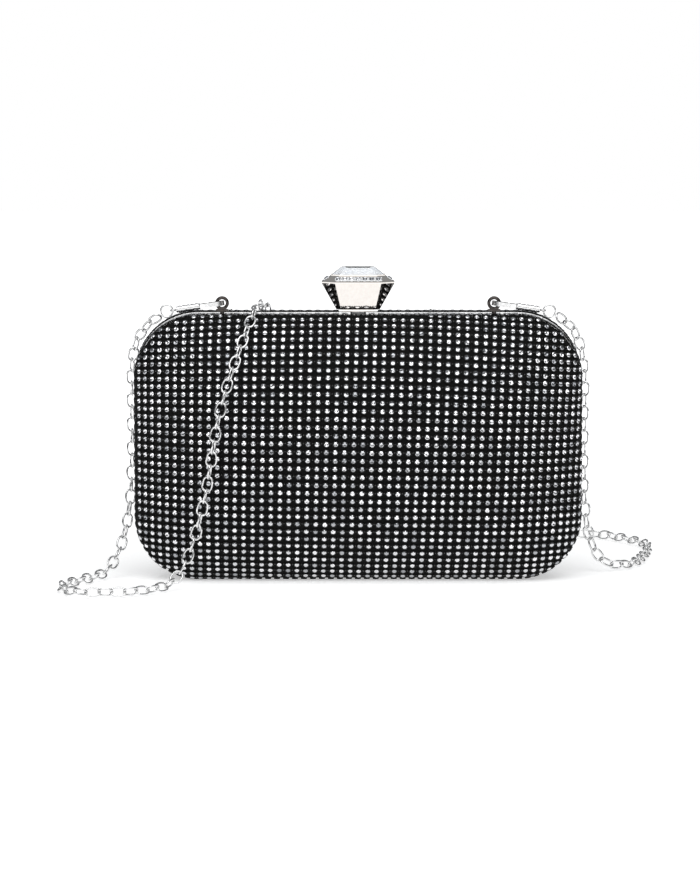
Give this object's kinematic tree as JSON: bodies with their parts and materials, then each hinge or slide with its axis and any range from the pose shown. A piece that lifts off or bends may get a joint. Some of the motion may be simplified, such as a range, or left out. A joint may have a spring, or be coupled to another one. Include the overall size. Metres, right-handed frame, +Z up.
{
  "type": "evening bag",
  "caption": "Hard evening clutch in two hinged pillow-shaped halves, covered in round stones, with a jewelled top clasp and a detachable metal chain strap.",
  "frame": {"origin": "on the standing surface, under the middle of the bag without its strap", "axes": "+X to the right along the bag's width, +Y to the rear through its depth, +Z up"},
  "size_m": [0.2726, 0.1894, 0.1397],
  "materials": {
    "stone_cover": "gloss",
    "foam": "matte",
    "shell_board": "matte",
    "lining_satin": "satin",
    "frame_metal": "polished",
    "steel": "satin",
    "clasp_metal": "polished",
    "crystal": "polished",
    "eye_metal": "polished",
    "hook_metal": "polished",
    "chain_metal": "polished"
  },
  "bodies": {
    "root": {"chain_crossing": "chain_metal", "chain_eye_left": "eye_metal", "chain_eye_right": "eye_metal", "chain_left": "chain_metal", "chain_rear_drop": "chain_metal", "chain_right": "chain_metal", "clasp_base": "clasp_metal", "clasp_spring": "steel", "eye_washers": "steel", "front_cover": "stone_cover", "front_frame": "frame_metal", "front_lining": "lining_satin", "front_padding": "foam", "front_shell": "shell_board", "gusset_left": "lining_satin", "gusset_right": "lining_satin", "hinge_front_knuckles": "frame_metal", "hinge_pins": "steel", "hook_body_left": "hook_metal", "hook_body_right": "hook_metal", "hook_gate_pin_left": "steel", "hook_gate_pin_right": "steel", "hook_ring_left": "hook_metal", "hook_ring_right": "hook_metal", "hook_spring_left": "steel", "hook_spring_right": "steel", "hook_swivel_left": "hook_metal", "hook_swivel_right": "hook_metal"},
    "rear_half": {"rear_cover": "stone_cover", "rear_padding": "foam", "rear_shell": "shell_board", "rear_lining": "lining_satin", "rear_frame": "frame_metal", "rear_slip_pocket": "lining_satin", "hinge_rear_knuckles": "frame_metal", "latch_catch": "steel"},
    "clasp": {"clasp_body": "clasp_metal", "clasp_pin": "steel", "clasp_latch": "steel", "clasp_bezel": "clasp_metal", "clasp_crystal": "crystal", "clasp_pave_stones": "crystal"},
    "hook_gate_left": {"hook_gate_left": "hook_metal"},
    "hook_gate_right": {"hook_gate_right": "hook_metal"}
  },
  "joints": [
    {"name": "bag_hinge", "type": "hinge", "parent": "root", "child": "rear_half", "pos_m": [0, 0, 0.002], "axis": [-1, 0, 0], "range_deg": [0, 40], "deforming": ["gusset_left", "gusset_right", "chain_crossing", "chain_rear_drop"]},
    {"name": "clasp_tilt", "type": "hinge", "parent": "root", "child": "clasp", "pos_m": [0, 0, 0.125], "axis": [-1, 0, 0], "range_deg": [0, 8], "stiffness_Nm_per_rad": 0.3, "springref_deg": -8.59},
    {"name": "left_gate", "type": "hinge", "parent": "root", "child": "hook_gate_left", "pos_m": [-0.06782, 0.0006, 0.12253], "axis": [0.1444, 0, -0.9895], "range_deg": [0, 10], "stiffness_Nm_per_rad": 0.005, "springref_deg": -17.19},
    {"name": "right_gate", "type": "hinge", "parent": "root", "child": "hook_gate_right", "pos_m": [0.06782, 0.0006, 0.12253], "axis": [0.1444, 0, 0.9895], "range_deg": [0, 10], "stiffness_Nm_per_rad": 0.005, "springref_deg": -17.19}
  ]
}
